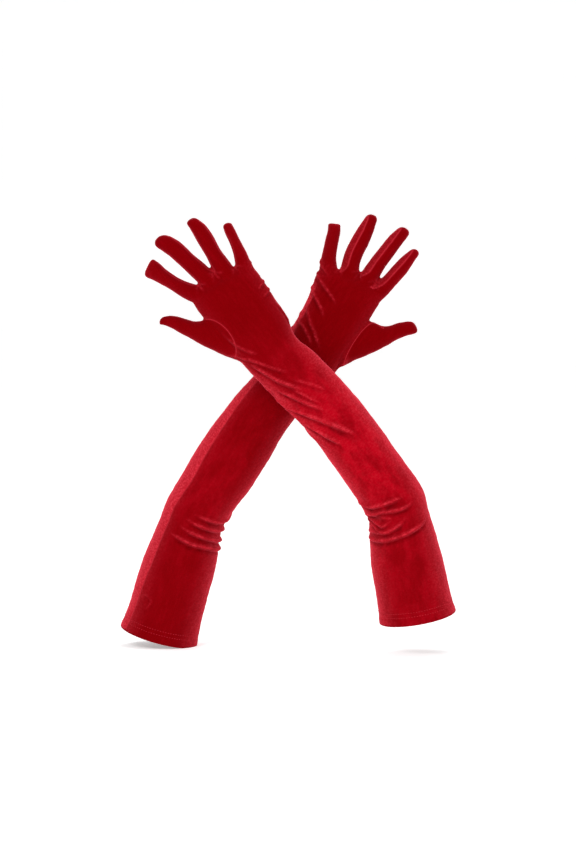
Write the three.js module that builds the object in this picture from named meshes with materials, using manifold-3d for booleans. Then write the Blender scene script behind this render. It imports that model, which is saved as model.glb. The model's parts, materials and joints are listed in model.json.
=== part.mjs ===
// A pair of opera gloves in stretch velvet, each reaching past the elbow, shown as they are worn on crossed arms.
// Millimetres, +Z up, palms facing -Y. The origin is midway between the centres of the two cuffs.
// Each glove is a chain of cloth tubes: upper sleeve, forearm sleeve, hand, thumb and four finger stalls.
import * as THREE from 'three';
import { mergeVertices } from 'three/addons/utils/BufferGeometryUtils.js';
import Module from 'manifold-3d';

const wasm = await Module();
wasm.setup();

const FABRIC = 1.2;              // thickness of the velvet
const GAP = 0.3;                 // clearance between pieces that touch
const JOINT_GAP = 0.6;           // clearance round the rounded ends that turn inside the next tube
const MERGE = 1e-3;              // vertices closer than this are one vertex

const SLEEVE_SIDES = 22;
const FINGER_SIDES = 12;
const ROOT_SIDES = { around: 14, along: 10 };

const FOREARM_LENGTH = 222;      // elbow to wrist
const SLEEVE_TILT = 6;           // degrees that an upper sleeve leans back, away from the palms
const CUFF_SPREAD = { x: 148.5, y: -37.5, z: 15.4 };   // from the origin to the left cuff's centre

const ELBOW_RADIUS = 36;
const ELBOW_RIM_SLOPE = 0.375;   // the upper sleeve's rim drops this much per millimetre towards the crook
const WRIST = { halfWidth: 31.8, halfDepth: 20.2 };
const WRIST_RIM = { below: 5, slope: 0.1 };

const CUFF = { halfWidth: 44.8, halfDepth: 42.4 };
const HEM_TOP = { halfWidth: 43.6, halfDepth: 41.4 };
const HEM_DEPTH = 18;            // cloth turned up inside the cuff
const HEM_STITCH_HEIGHTS = { lower: 9.5, upper: 14.5 };
const THREAD = { proud: 0.6, tall: 0.9 };
const SEAM_TAPE = { width: 4, thick: 1.4 };   // overlocked seam allowance on the little-finger side

// Fingers: base is the knuckle's place in the hand, measured from the wrist centre.
const FINGERS = {
  index: { across: 31.8, along: 119.5, length: 60.5, halfWidth: 9.2, halfDepth: 8.8, strips: [-1] },
  middle: { across: 11.2, along: 124.5, length: 71, halfWidth: 9.2, halfDepth: 8.8, strips: [-1, 1] },
  ring: { across: -12.1, along: 118.7, length: 69, halfWidth: 9, halfDepth: 8.6, strips: [-1, 1] },
  little: { across: -32.9, along: 108.8, length: 53, halfWidth: 7.8, halfDepth: 7.6, strips: [1] },
};
const KNUCKLE_SETBACK = 6.5;     // the hand stops this far short of each knuckle's centre
const KNUCKLE_ZONE = 45;         // degrees of rounded cloth kept below each knuckle's centre
const STRIP = { half: 5.2, start: -2, tipMargin: 4, shoulder: 0.6 };

const THUMB = { across: 40.5, along: 47, length: 77, halfWidth: 8.6 };
const THUMB_ROOT = { across: 39, along: 57, radius: 10.5, halfLength: 32, openingInset: 8.5 };
const THUMB_SEAM_WIDTH = 2.4;

// How each glove is worn. Angles are in degrees from vertical, or from the hand for the fingers,
// positive towards the thumb. side is +1 where the thumb points to +X and -1 where it points to -X.
// seamTurn is where the side seam runs, in degrees round the arm from the middle of the palm face towards
// the thumb, and stripTurn is how far the fingers' side strips are twisted towards the palm.
const GLOVES = {
  right: {
    side: 1,
    upperLength: 147,
    upperAngle: 15.2,
    forearmAngle: 35.7,
    handAngle: 31.9,
    splay: { index: 7.4, middle: 2.7, ring: -10, little: -25.7 },
    thumbSplay: 35.5,
    stripTurn: 35,
    seamTurn: -50,
  },
  left: {
    side: -1,
    upperLength: 129,
    upperAngle: 9.9,
    forearmAngle: 38.9,
    handAngle: 36.5,
    splay: { index: 26.9, middle: 16.3, ring: -3.8, little: -16.8 },
    thumbSplay: 29.5,
    stripTurn: 0,
    seamTurn: -105,
  },
};

const velvet = new THREE.MeshStandardMaterial({ color: 0x9c0410, roughness: 0.85, metalness: 0 });
const velvetInside = new THREE.MeshStandardMaterial({ color: 0x6f0a12, roughness: 0.95, metalness: 0 });
const velvetStrip = new THREE.MeshStandardMaterial({ color: 0xb01420, roughness: 0.85, metalness: 0 });
const thread = new THREE.MeshStandardMaterial({ color: 0xb4202c, roughness: 0.6, metalness: 0 });

const radians = THREE.MathUtils.degToRad;

// ---- solids ----

function toSolid(geometry) {
  geometry.deleteAttribute('normal');
  geometry.deleteAttribute('uv');
  const merged = mergeVertices(geometry, MERGE);
  const corners = Array.from(merged.index.array);
  const triangles = [];
  for (let i = 0; i < corners.length; i += 3) {
    const [a, b, c] = corners.slice(i, i + 3);
    if (a !== b && b !== c && c !== a) triangles.push(a, b, c);
  }
  return new wasm.Manifold(new wasm.Mesh({
    numProp: 3,
    vertProperties: merged.attributes.position.array,
    triVerts: new Uint32Array(triangles),
  }));
}

function toMesh(name, solid, material) {
  const { vertProperties, triVerts } = solid.getMesh();
  const geometry = new THREE.BufferGeometry();
  geometry.setAttribute('position', new THREE.BufferAttribute(vertProperties, 3));
  geometry.setIndex(new THREE.BufferAttribute(triVerts, 1));
  geometry.computeVertexNormals();
  const mesh = new THREE.Mesh(geometry, material);
  mesh.name = name;
  return mesh;
}

// Squareness 2 leaves a circle's sine or cosine as it is, and more pushes the outline out to its corners.
function squared(value, squareness) {
  return Math.sign(value) * Math.abs(value) ** (2 / squareness);
}

// A closed solid along +Z through oval sections, each [height, half width, half depth, squareness].
function ovalGeometry(sections, sides) {
  const rim = sections.map((section, row) => new THREE.Vector2(1, row));
  const profile = [new THREE.Vector2(0, 0), ...rim, new THREE.Vector2(0, sections.length - 1)];
  const geometry = new THREE.LatheGeometry(profile, sides);
  const position = geometry.attributes.position;
  for (let i = 0; i < position.count; i++) {
    const [height, halfWidth, halfDepth, squareness] = sections[Math.round(position.getY(i))];
    const x = halfWidth * squared(position.getX(i), squareness);
    const y = halfDepth * squared(-position.getZ(i), squareness);
    position.setXYZ(i, x, y, height);
  }
  return geometry;
}

function ovalSolid(sections, sides = SLEEVE_SIDES) {
  return toSolid(ovalGeometry(sections, sides));
}

// The same sections run on past the first height, and past the last one where the tube is open there.
function throughSections(sections, bottom, top) {
  const first = sections[0];
  const last = sections[sections.length - 1];
  const through = [[bottom, ...first.slice(1)], ...sections];
  if (top !== undefined) through.push([top, ...last.slice(1)]);
  return through;
}

// A cloth tube open at both ends. sectionsAt(inset) gives its sections with that much taken off all round.
function openTube(sectionsAt, sides) {
  const outer = sectionsAt(0);
  const bottom = outer[0][0] - 1;
  const top = outer[outer.length - 1][0] + 1;
  const inner = throughSections(sectionsAt(FABRIC), bottom, top);
  return ovalSolid(outer, sides).subtract(ovalSolid(inner, sides));
}

// A cloth tube open at its base and closed at its tip.
function stallTube(sectionsAt, sides) {
  const outer = sectionsAt(0);
  const inner = throughSections(sectionsAt(FABRIC), outer[0][0] - 1);
  return ovalSolid(outer, sides).subtract(ovalSolid(inner, sides));
}

// Keeps what is below the plane z = height + slopeX x + slopeY y.
function keepBelow(solid, height, slopeX, slopeY) {
  const normal = [slopeX, slopeY, -1];
  return solid.trimByPlane(normal, -height / Math.hypot(...normal));
}

function boxSolid(low, high) {
  const size = low.map((value, i) => high[i] - value);
  const middle = low.map((value, i) => (high[i] + value) / 2);
  return toSolid(new THREE.BoxGeometry(...size).translate(...middle));
}

// ---- rounded ends, as sections ----

// The rounded start of a tube: part of an ellipsoid centred at height 0, from the given angle up to its equator.
function roundedStart(halfWidth, halfDepth, degreesBelow, inset) {
  return [-degreesBelow, -degreesBelow / 2, 0].map((angle) => {
    const shrink = Math.cos(radians(angle));
    const height = (halfDepth - inset) * Math.sin(radians(angle));
    return [height, (halfWidth - inset) * shrink, (halfDepth - inset) * shrink, 2];
  });
}

// The rounded tip of a stall whose last straight section is halfWidth by halfDepth.
function roundedTip(length, halfWidth, halfDepth, inset) {
  return [30, 60, 90].map((angle) => {
    const shrink = angle === 90 ? 0 : Math.cos(radians(angle));
    const height = length - halfDepth + (halfDepth - inset) * Math.sin(radians(angle));
    return [height, (halfWidth - inset) * shrink, (halfDepth - inset) * shrink, 2];
  });
}

function inward(sections, inset) {
  return sections.map(([height, halfWidth, halfDepth, squareness = 2]) =>
    [height, halfWidth - inset, halfDepth - inset, squareness]);
}

// ---- sleeves ----

// The upper sleeve's heights run from its hem, at -length, to the elbow's centre, at 0.
function upperSections(length) {
  const elbow = ELBOW_RADIUS + JOINT_GAP + FABRIC;
  return (inset) => inward([
    [-length, CUFF.halfWidth, CUFF.halfDepth],
    [-length + HEM_DEPTH, HEM_TOP.halfWidth, HEM_TOP.halfDepth],
    [-length / 2, 41.2, 40],
    [-28, 38.6, 38.4],
    [-12, elbow, elbow],
    [20, elbow, elbow],
  ], inset);
}

function forearmSections(inset) {
  const wristWidth = WRIST.halfWidth + JOINT_GAP + FABRIC;
  const wristDepth = WRIST.halfDepth + JOINT_GAP + FABRIC;
  return [
    ...roundedStart(ELBOW_RADIUS, ELBOW_RADIUS, 30, inset),
    ...inward([
      [40, 36.4, 34],
      [100, 35.8, 31],
      [160, 34.6, 27],
      [FOREARM_LENGTH - 16, wristWidth, wristDepth + 0.8],
      [FOREARM_LENGTH + 6, wristWidth, wristDepth],
    ], inset),
  ];
}

function upperSleeve(length, side) {
  return keepBelow(openTube(upperSections(length)), 0, -ELBOW_RIM_SLOPE * side, 0);
}

function forearmSleeve() {
  return keepBelow(openTube(forearmSections), FOREARM_LENGTH - WRIST_RIM.below, 0, WRIST_RIM.slope);
}

// A ring that follows the cuff between two heights above the hem. Its outside is that far inside the sleeve's.
function cuffRing(length, low, high, inset, thickness) {
  const sectionsAt = (depth) => inward([low, high].map((height) => {
    const share = height / HEM_DEPTH;
    const halfWidth = THREE.MathUtils.lerp(CUFF.halfWidth, HEM_TOP.halfWidth, share);
    const halfDepth = THREE.MathUtils.lerp(CUFF.halfDepth, HEM_TOP.halfDepth, share);
    return [height - length, halfWidth, halfDepth];
  }), inset + depth);
  const hole = throughSections(sectionsAt(thickness), low - length - 1, high - length + 1);
  return ovalSolid(sectionsAt(0)).subtract(ovalSolid(hole));
}

function hemTurnUp(length) {
  return cuffRing(length, 0, HEM_DEPTH, FABRIC + GAP, FABRIC);
}

function hemStitchRow(length, height) {
  const half = THREAD.tall / 2;
  return cuffRing(length, height - half, height + half, -GAP - THREAD.proud, THREAD.proud);
}

// The seam allowance lies inside the tube, turned round it from the middle of the palm face.
function seamTape(sectionsAt, turn, low, high) {
  const outside = FABRIC + GAP;
  const layer = ovalSolid(sectionsAt(outside)).subtract(ovalSolid(sectionsAt(outside + SEAM_TAPE.thick)));
  const half = SEAM_TAPE.width / 2;
  const wedge = boxSolid([-half, -60, low], [half, 0, high]).rotate([0, 0, turn]);
  return layer.intersect(wedge);
}

// ---- hand and thumb, in the hand's frame: origin at the wrist, +Z to the knuckles ----

function handSections(inset) {
  return [
    ...roundedStart(WRIST.halfWidth, WRIST.halfDepth, 50, inset),
    ...inward([
      [14, 35.6, 18.6, 2.1],
      [28, 39.3, 17.2, 2.2],
      [60, 41, 15.5, 2.5],
      [95, 41.5, 13.4, 2.5],
      [128, 41.5, 12, 2.4],
    ], inset),
  ];
}

function thumbRoot(side, growth) {
  const { across, along, radius, halfLength } = THUMB_ROOT;
  const geometry = new THREE.SphereGeometry(1, ROOT_SIDES.around, ROOT_SIDES.along);
  geometry.rotateX(Math.PI / 2);
  geometry.scale(radius + growth, radius + growth, halfLength + growth);
  geometry.translate(across * side, 0, along);
  return toSolid(geometry);
}

function thumbSolid(side, splay, inset) {
  const sections = [
    ...inward([
      [-16, 5, 5],
      [-8, 13, 8.6],
      [8, 16, 10],
      [36, 11.4, 9.6],
      [THUMB.length - 18, 9.4, 8.9],
      [THUMB.length - THUMB.halfWidth, THUMB.halfWidth, THUMB.halfWidth],
    ], inset),
    ...roundedTip(THUMB.length, THUMB.halfWidth, THUMB.halfWidth, inset),
  ];
  const geometry = ovalGeometry(sections, FINGER_SIDES);
  geometry.rotateY(radians(splay * side));
  geometry.translate(THUMB.across * side, 0, THUMB.along);
  const finger = toSolid(geometry).trimByPlane([side, 0, 0], THUMB_ROOT.across);
  return thumbRoot(side, -inset).add(finger);
}

function thumbShell(side, splay) {
  const shell = thumbSolid(side, splay, 0).subtract(thumbSolid(side, splay, FABRIC));
  return shell.trimByPlane([side, 0, 0], THUMB_ROOT.across - THUMB_ROOT.openingInset);
}

// Takes off everything past a plane behind each knuckle, square to that finger.
function trimAtKnuckles(solid, side, splay, setback) {
  let trimmed = solid;
  for (const [name, finger] of Object.entries(FINGERS)) {
    const turn = radians(splay[name] * side);
    const direction = [Math.sin(turn), 0, Math.cos(turn)];
    const reach = finger.across * side * direction[0] + finger.along * direction[2] - setback;
    trimmed = trimmed.trimByPlane(direction.map((value) => -value), -reach);
  }
  return trimmed;
}

// The room that a finger's rounded base turns in, which also opens the hand into the finger.
function knuckleRoom(side, { across, along, halfWidth, halfDepth }) {
  const geometry = new THREE.SphereGeometry(1, FINGER_SIDES, ROOT_SIDES.along);
  geometry.scale(halfWidth + JOINT_GAP, halfDepth + JOINT_GAP, halfDepth + JOINT_GAP);
  geometry.translate(across * side, 0, along);
  return toSolid(geometry);
}

// The hand is open at the wrist, and closed between the fingers.
function handShell(side, splay) {
  const outer = handSections(0);
  const inner = throughSections(handSections(FABRIC), outer[0][0] - 1);
  const hollow = trimAtKnuckles(ovalSolid(inner), side, splay, KNUCKLE_SETBACK + FABRIC);
  let shell = trimAtKnuckles(ovalSolid(outer), side, splay, KNUCKLE_SETBACK).subtract(hollow);
  for (const finger of Object.values(FINGERS)) {
    shell = shell.subtract(knuckleRoom(side, finger));
  }
  return shell;
}

function thumbSeam(side, shell) {
  const inner = thumbRoot(side, JOINT_GAP);
  return shell.intersect(thumbRoot(side, JOINT_GAP + THUMB_SEAM_WIDTH)).subtract(inner);
}

function handWithThumbHole(side, shell) {
  return shell.subtract(thumbRoot(side, JOINT_GAP + THUMB_SEAM_WIDTH + GAP));
}

// ---- finger stalls and the strips between the fingers ----

function fingerShell({ length, halfWidth, halfDepth }) {
  return stallTube((inset) => [
    ...roundedStart(halfWidth, halfDepth, KNUCKLE_ZONE, inset),
    ...inward([[length * 0.5, halfWidth, halfDepth], [length - halfDepth, halfWidth, halfDepth]], inset),
    ...roundedTip(length, halfWidth, halfDepth, inset),
  ], FINGER_SIDES);
}

// A leaf-shaped prism that runs out through one side of a stall; grow widens it all round.
function stripPrism({ length, halfWidth }, direction, turn, grow) {
  const half = STRIP.half + grow;
  const base = STRIP.start - grow;
  const tip = length - STRIP.tipMargin + grow;
  const leaf = new THREE.Shape([
    new THREE.Vector2(-half, base),
    new THREE.Vector2(half, base),
    new THREE.Vector2(half * 0.9, length * STRIP.shoulder),
    new THREE.Vector2(0, tip),
    new THREE.Vector2(-half * 0.9, length * STRIP.shoulder),
  ]);
  const start = 1.5;
  const geometry = new THREE.ExtrudeGeometry(leaf, { depth: halfWidth + 2, bevelEnabled: false });
  geometry.translate(0, 0, start);
  const outwards = new THREE.Vector3(direction, 0, 0);
  const sideways = new THREE.Vector3(0, direction, 0);
  geometry.applyMatrix4(new THREE.Matrix4().makeBasis(sideways, new THREE.Vector3(0, 0, 1), outwards));
  geometry.rotateZ(radians(turn));
  return toSolid(geometry);
}

function fingerGroup(label, name, glove) {
  const { side, splay, stripTurn } = glove;
  const finger = FINGERS[name];
  const group = new THREE.Group();
  group.position.set(finger.across * side, 0, finger.along);
  group.rotation.y = radians(splay[name] * side);
  const shell = fingerShell(finger);
  let stall = shell;
  for (const towards of finger.strips) {
    const direction = towards * side;
    stall = stall.subtract(stripPrism(finger, direction, stripTurn * side, GAP / 2));
    const neighbour = towards > 0 ? 'thumb_side' : 'little_side';
    const strip = shell.intersect(stripPrism(finger, direction, stripTurn * side, -GAP / 2));
    group.add(toMesh(`${label}_${name}_fourchette_${neighbour}`, strip, velvetStrip));
  }
  group.add(toMesh(`${label}_${name}_stall`, stall, velvet));
  return group;
}

// ---- one glove ----

function upperGroup(label, glove) {
  const { side, upperLength, upperAngle, seamTurn } = glove;
  const group = new THREE.Group();
  group.rotation.order = 'YXZ';
  group.rotation.set(radians(SLEEVE_TILT), radians(upperAngle * side), 0);
  const seam = seamTape(upperSections(upperLength), seamTurn * side, HEM_DEPTH + 2 - upperLength, -30);
  group.add(
    toMesh(`${label}_upper_sleeve`, upperSleeve(upperLength, side), velvet),
    toMesh(`${label}_hem_turn_up`, hemTurnUp(upperLength), velvetInside),
    toMesh(`${label}_hem_stitch_lower`, hemStitchRow(upperLength, HEM_STITCH_HEIGHTS.lower), thread),
    toMesh(`${label}_hem_stitch_upper`, hemStitchRow(upperLength, HEM_STITCH_HEIGHTS.upper), thread),
    toMesh(`${label}_side_seam_upper`, seam, velvetInside),
  );
  return group;
}

function handGroup(label, glove) {
  const { side, handAngle, forearmAngle, splay, thumbSplay, seamTurn } = glove;
  const group = new THREE.Group();
  group.position.z = FOREARM_LENGTH;
  group.rotation.y = radians((handAngle - forearmAngle) * side);
  const shell = handShell(side, splay);
  group.add(
    toMesh(`${label}_hand`, handWithThumbHole(side, shell), velvet),
    toMesh(`${label}_thumb_seam`, thumbSeam(side, shell), thread),
    toMesh(`${label}_thumb`, thumbShell(side, thumbSplay), velvet),
    toMesh(`${label}_side_seam_hand`, seamTape(handSections, seamTurn * side, 6, 92), velvetInside),
  );
  for (const name of Object.keys(FINGERS)) {
    group.add(fingerGroup(label, name, glove));
  }
  return group;
}

function forearmGroup(label, glove) {
  const group = new THREE.Group();
  group.rotation.y = radians(glove.forearmAngle * glove.side);
  const seam = seamTape(forearmSections, glove.seamTurn * glove.side, 6, FOREARM_LENGTH - 20);
  group.add(
    toMesh(`${label}_forearm_sleeve`, forearmSleeve(), velvet),
    toMesh(`${label}_side_seam_forearm`, seam, velvetInside),
    handGroup(label, glove),
  );
  return group;
}

// The elbow's centre is the glove group's origin, placed so that the cuff's centre is at CUFF_SPREAD.
function gloveGroup(label, glove) {
  const upper = upperGroup(label, glove);
  const cuff = new THREE.Vector3(0, 0, -glove.upperLength).applyEuler(upper.rotation);
  const group = new THREE.Group();
  const place = new THREE.Vector3(CUFF_SPREAD.x, CUFF_SPREAD.y, CUFF_SPREAD.z).multiplyScalar(-glove.side);
  group.position.copy(place.sub(cuff));
  group.add(upper, forearmGroup(label, glove));
  return group;
}

const operaGloves = new THREE.Group();
for (const [label, glove] of Object.entries(GLOVES)) {
  operaGloves.add(gloveGroup(label, glove));
}

export default operaGloves;
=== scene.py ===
"""A pair of stretch-velvet opera gloves that reach past the elbow, as they are worn on crossed arms.

Each glove is grown as one skin: a tube for the arm and palm and one for each finger and the thumb, joined
and smoothed. Folds are raised on that skin, and it is then cut into pieces along its real seams and at its
joints. Lengths are in millimetres until a mesh is made. "Turn" is the angle round a limb, in degrees, from
the middle of its palm face towards the thumb.
"""
import json
import math

import bpy
import numpy as np
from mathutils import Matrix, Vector


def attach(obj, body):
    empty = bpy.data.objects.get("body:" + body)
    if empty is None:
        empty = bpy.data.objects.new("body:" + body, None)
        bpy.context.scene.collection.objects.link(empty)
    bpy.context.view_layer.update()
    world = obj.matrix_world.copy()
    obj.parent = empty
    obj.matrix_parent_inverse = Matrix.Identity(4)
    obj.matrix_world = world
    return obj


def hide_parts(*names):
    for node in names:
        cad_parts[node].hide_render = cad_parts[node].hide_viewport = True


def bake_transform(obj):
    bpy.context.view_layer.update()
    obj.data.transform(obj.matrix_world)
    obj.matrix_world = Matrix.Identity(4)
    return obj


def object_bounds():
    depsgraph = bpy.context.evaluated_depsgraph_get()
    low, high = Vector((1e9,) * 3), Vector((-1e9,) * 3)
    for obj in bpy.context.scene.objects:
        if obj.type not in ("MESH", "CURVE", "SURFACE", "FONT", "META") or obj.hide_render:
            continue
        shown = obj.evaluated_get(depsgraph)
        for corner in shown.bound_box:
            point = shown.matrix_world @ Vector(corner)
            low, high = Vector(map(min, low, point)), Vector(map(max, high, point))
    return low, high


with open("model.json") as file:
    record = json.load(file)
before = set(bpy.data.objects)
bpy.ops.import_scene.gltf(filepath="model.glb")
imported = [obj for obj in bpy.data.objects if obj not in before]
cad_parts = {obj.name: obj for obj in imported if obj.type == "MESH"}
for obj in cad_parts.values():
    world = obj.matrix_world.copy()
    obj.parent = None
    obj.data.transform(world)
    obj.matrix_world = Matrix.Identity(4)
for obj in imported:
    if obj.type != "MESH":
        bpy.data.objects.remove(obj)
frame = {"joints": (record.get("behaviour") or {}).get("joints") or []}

CAD_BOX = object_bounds()

# ---- the gloves' measurements ----

CLOTH = 1.0                # thickness of the velvet
VOXEL = 1.5                # how finely the skin is rebuilt when its tubes are joined
SNAP = 0.15                # points this close to a cut are taken to lie on it
HEM_RUN_ON = 8             # the arm tube runs on this far below the cuff, to be cut off
HEM_TURN_UP = 18
HEM_BULGE = 0.35           # the fold at the edge stands this far out of the plain tube
STITCH_ROWS = {"lower": 9.5, "upper": 14.5}
STITCH = {"length": 1.7, "pitch": 3.1, "radius": 0.38, "depth": 0.25}
SLEEVE_TOP = 110           # height above the elbow where the sleeve piece meets the hand piece
STALL_START = 6            # height above each knuckle where a finger stall meets the hand
STRIP_HALF_WIDTH = 5.2
STRIP_SIDES = ("little_side", "thumb_side")
THUMB_BASE = {"across": 40.5, "along": 47, "splay": 35.5}
FINGERS = ("index", "middle", "ring", "little")
CURL = 2.4                 # how far a fingertip leans towards the palm face
HALF_DEPTH = {"finger": 9.0, "thumb": 10.5}
FLAT_END = {"half_width": 11, "half_depth": 6.6}    # a finger's end that is wider than this lies flatter
FINGER_REACH = 1.9         # a point this many half widths from a finger's middle is no longer on it
FINGER_SPAN = (-8, 4)      # a finger's points lie above this height and less than this far past its tip
STRIP_TIP = {"stop": 3.5, "taper": 0.26}    # a strip ends below the tip, and narrows over a share of it
THUMB_SHAFT = {"height": 38, "thumb_across": -25, "hand_across": 40}    # past all three is the thumb itself
WELL_PAST = 6              # stands for any distance past a cut that needn't be exact
NO_FINGER = -99.0          # stands for a finger's height where there is no finger
OFF_STRIP = -9.0           # stands for a distance inside a strip where there is no strip
STRIP_START = -9           # height at each knuckle from which a strip grows to its full width
PUCKERS = ((-52, 0.6), (-12, 1.0), (30, 0.7))    # creases at each finger's crotch: lean and height
CROTCH_AREA = (0, 4, 7, 14)    # those creases start, are full, begin to fade and end this far from it
SIDE_SEAM_END = (70, 92)   # heights on the hand between which the side seam fades out
SMOOTHING = {"everywhere": 4, "knuckles_and_web": 14}    # rounds of it
KNUCKLE_AREA = (70, 95, 128, 140)    # heights on the hand: it starts, is full, begins to fade and ends
WEB_AREA = {"along": (15, 35, 90, 105), "across": (22, 36, 56, 66)}
GROOVES = {"side_seam": (0.8, 1.1), "stitches": (0.45, 1.0)}    # depth and width
HEM_ROLL = {"height": 0.6, "middle": 4, "width": 4}    # the cuff swells a little above its edge
WAVINESS = ((0.35, 0.2, 22, 70), (0.2, 0.1, 7, 16))    # height, how much less in the hand, wavelengths
WAVE_SEEDS = {"left": (4, 7), "right": (5, 8)}
FOLD_TAPER = 0.24          # the share of a fold's length over which each of its ends fades
FULL_FOLD = 1.8            # folds lower than this take less painted highlight and painted shade

# Stations up the arm, by limb: height, outer edge, thumb-side edge and half depth. Where the section is not
# a level oval, its squareness and lean follow: lean is how much higher its thumb-side edge is.
ARM = {
    "left": {
        "upper": [
            (-131.5, -45.8, 43.6, 42.2), (-122, -44.6, 43, 41.8), (-93, -42.5, 42, 41),
            (-65, -41.4, 41.8, 40), (-36, -38, 39.4, 39), (-14.5, -35.2, 36.8, 38, 2, -5),
        ],
        "forearm": [
            (0.5, -33.2, 34.4, 37.4, 2, 21), (12, -37.2, 33.5, 36.6, 2, 16),
            (30, -39, 31.6, 35.5, 2, 6), (57, -40.4, 29.3, 34), (90, -42.6, 27.2, 32),
            (120, -43.4, 25.7, 30), (150, -42.5, 26.6, 27.6), (180, -40, 29.3, 24.5),
            (205, -37.6, 32.2, 22),
        ],
        "hand": [
            (2, -32.8, 34.4, 20.4), (16, -33.2, 35.8, 19.4, 2.1, 0), (34, -38.4, 37.4, 18.2, 2.2, 0),
            (59, -39.3, 39, 16.6, 2.4, 0), (84, -41, 40.4, 14.6, 2.5, 4),
            (101, -41.2, 40.4, 12.6, 2.4, 9), (110, -39.4, 37, 9.4, 2.3, 11),
            (115, -34, 32, 4.5, 2.2, 12),
        ],
    },
    "right": {
        "upper": [
            (-150.5, -49.2, 43, 42.2), (-141, -48.2, 42.2, 41.8), (-119, -46.2, 41.2, 41),
            (-90, -45.7, 40.4, 40.4), (-61, -43.9, 40.8, 40), (-38, -40.9, 39.1, 39),
            (-14, -37.4, 36.2, 38, 2, -4),
        ],
        "forearm": [
            (1.5, -36, 35.6, 37.4, 2, 15), (16, -38, 34.8, 36.6, 2, 12), (34, -40, 34.4, 35.5, 2, 4),
            (66, -43, 35.1, 34), (99, -44, 33.2, 31.4), (134, -42.8, 29.6, 28.8),
            (165, -40, 29.6, 26.4), (195, -36.6, 32, 23),
        ],
        "hand": [
            (4, -34, 36.4, 20.4), (24, -34.2, 37.2, 19, 2.1, 0), (42, -34.6, 37.4, 17.8, 2.2, 0),
            (64, -36.6, 37.6, 16.4, 2.4, 0), (86, -40.6, 38, 14.6, 2.5, 4),
            (101, -42.6, 37.6, 12.6, 2.4, 9), (110, -40, 35, 9.4, 2.3, 11),
            (115, -35, 30, 4.5, 2.2, 12),
        ],
    },
}

# Stations up each finger: height above the knuckle, centre towards the thumb, half width.
# The tip is its height, its centre and how square it is, 2 being round.
FINGER_SHAPES = {
    "left": {
        "index": {
            "stations": [
                (-16, 0.2, 9.5), (0, 1.3, 10.4), (14, 2, 9.2), (27, 1.1, 8.4), (40, -0.3, 9.1),
                (50, -1.8, 10.6), (56, -2, 11.2),
            ],
            "tip": (61, -3.2, 3.4),
        },
        "middle": {
            "stations": [
                (-16, -0.8, 9.6), (0, -0.7, 10.8), (12, -2, 10.7), (30, -3.6, 10), (48, -5.4, 10.3),
                (60, -4.7, 9.8),
            ],
            "tip": (72.4, -1.7, 2.3),
        },
        "ring": {
            "stations": [
                (-16, -0.8, 9.8), (0, 0.7, 11.3), (8, 0.8, 10.9), (22, 0.4, 9.4), (42, -0.8, 9.8),
                (56, -0.7, 8.8), (64, 0.5, 7.2),
            ],
            "tip": (71, 2.3, 2.4),
        },
        "little": {
            "stations": [
                (-16, -1.8, 9.6), (2, 0.1, 9.3), (17, -0.4, 7.6), (30, 0.5, 6.5), (43, 1.8, 6.3),
                (49, 2.1, 5.8),
            ],
            "tip": (54, 2.5, 2.3),
        },
        "thumb": {
            "stations": [
                (-30, 3, 8), (-16, 0.6, 10.2), (0, -2.2, 12), (14, -5.2, 13.2), (24, -7.8, 14.4),
                (32, -8.4, 13.6), (38, -7.6, 11.6), (44, -7.2, 10), (54, -8, 9), (66, -9, 7.5),
                (76, -7.8, 5.6),
            ],
            "tip": (81.5, -4.6, 2.6),
        },
    },
    "right": {
        "index": {
            "stations": [
                (-16, -1.9, 9.2), (-3, -0.7, 9.6), (15, 0.8, 8.9), (32, 1.5, 8.9), (46, 1.3, 7.4),
                (53, 1.7, 6.1),
            ],
            "tip": (61, 2.6, 2.3),
        },
        "middle": {
            "stations": [
                (-16, -1.3, 9.6), (0, -0.1, 10.6), (18, -0.6, 9.7), (35, 0.2, 9.4), (52, 1.1, 8.9),
                (61, 2.4, 8),
            ],
            "tip": (70.2, 3.6, 2.4),
        },
        "ring": {
            "stations": [
                (-16, -1.3, 9.8), (0, -0.5, 11.2), (10, -2.3, 10.7), (21, -2.8, 10.4), (38, -1.4, 10.3),
                (53, -0.1, 8.9), (61, 0.5, 7.5),
            ],
            "tip": (69.8, 1.3, 2.4),
        },
        "little": {
            "stations": [
                (-16, -2.3, 9.4), (0, -2.4, 10.6), (10, -3.2, 9), (19, -2.8, 8.4), (32, -1.7, 8.1),
                (42, -0.5, 7.7), (47, -0.8, 7.5),
            ],
            "tip": (51.6, -0.8, 6),
        },
        "thumb": {
            "stations": [
                (-36, 8, 8), (-22, 5, 11.8), (-8, 0.6, 15), (4, -0.8, 16.8), (18, -2.2, 17.6),
                (26, -2.6, 17.4), (31, -0.8, 15), (37, 1.8, 11.8), (45, 2.9, 9.4), (56, 3.2, 9),
                (65, 4.8, 8.4),
            ],
            "tip": (74, 7, 3),
        },
    },
}

# The thumb's seam is an oval in the hand's palm plane: its middle and half lengths, along and across.
THUMB_SEAM = {
    "left": {"along": 58, "across": 45, "half_along": 29.5, "half_across": 19},
    "right": {"along": 48, "across": 45, "half_along": 33, "half_across": 9},
}

# Spans between two bodies, as heights on the limb, or distances across the hand for the thumb. They are
# passed on with each piece, which is not bent.
ELBOW_BLEND = 32           # this far below the elbow to this far above it
WRIST_BLEND = (-30, 10)
THUMB_BLEND = (43, 60)
THUMB_BLEND_ALONG = 55     # height above the wrist at which the thumb's distances are read
KNUCKLE_BLEND = (STALL_START, STALL_START + 14)

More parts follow.
